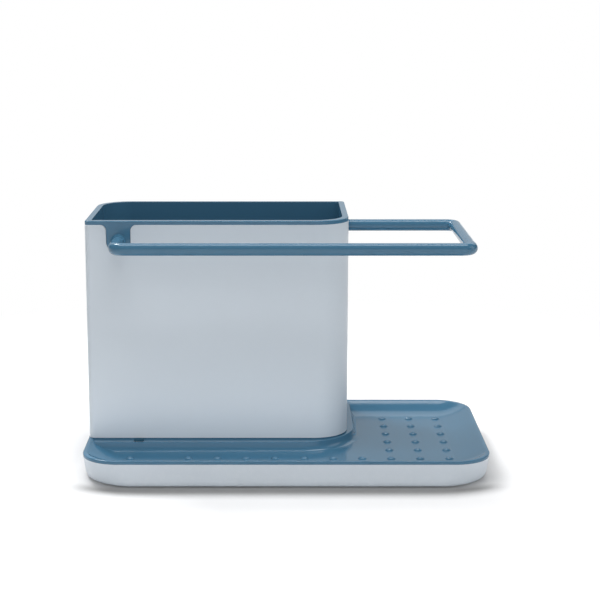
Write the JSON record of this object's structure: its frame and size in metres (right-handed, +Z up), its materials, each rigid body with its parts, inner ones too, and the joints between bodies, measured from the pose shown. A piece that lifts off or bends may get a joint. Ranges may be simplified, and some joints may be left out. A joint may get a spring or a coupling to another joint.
{
  "type": "sink caddy",
  "caption": "Sink caddy: a tall sleeve with a lift-out drained liner and round towel rail, standing on a bumped drip tray that nests in a base tray.",
  "frame": {"origin": "centre of the tray's outline, on the surface that the feet stand on", "axes": "+Z up, +X to the right along the trays, the front with the towel rail is -Y"},
  "size_m": [0.3064, 0.1748, 0.1912],
  "materials": {
    "pale_plastic": "pale blue-grey, satin moulded",
    "blue_plastic": "mid blue, smooth and softly glossy",
    "foot_rubber": "grey, matt"
  },
  "bodies": {
    "base": {"base_tray": "pale_plastic", "foot_front_left": "foot_rubber", "foot_front_right": "foot_rubber", "foot_back_left": "foot_rubber", "foot_back_right": "foot_rubber"},
    "drip": {"drip_tray": "blue_plastic"},
    "sleeve": {"outer_sleeve": "pale_plastic"},
    "liner": {"inner_liner": "blue_plastic", "towel_rail": "blue_plastic"}
  },
  "joints": [
    {"name": "drip_lift", "type": "slide", "parent": "base", "child": "drip", "axis": [0, 0, 1], "range_m": [0, 0.04]},
    {"name": "sleeve_lift", "type": "slide", "parent": "drip", "child": "sleeve", "axis": [0, 0, 1], "range_m": [0, 0.05]},
    {"name": "liner_lift", "type": "slide", "parent": "sleeve", "child": "liner", "axis": [0, 0, 1], "range_m": [0, 0.175]}
  ]
}
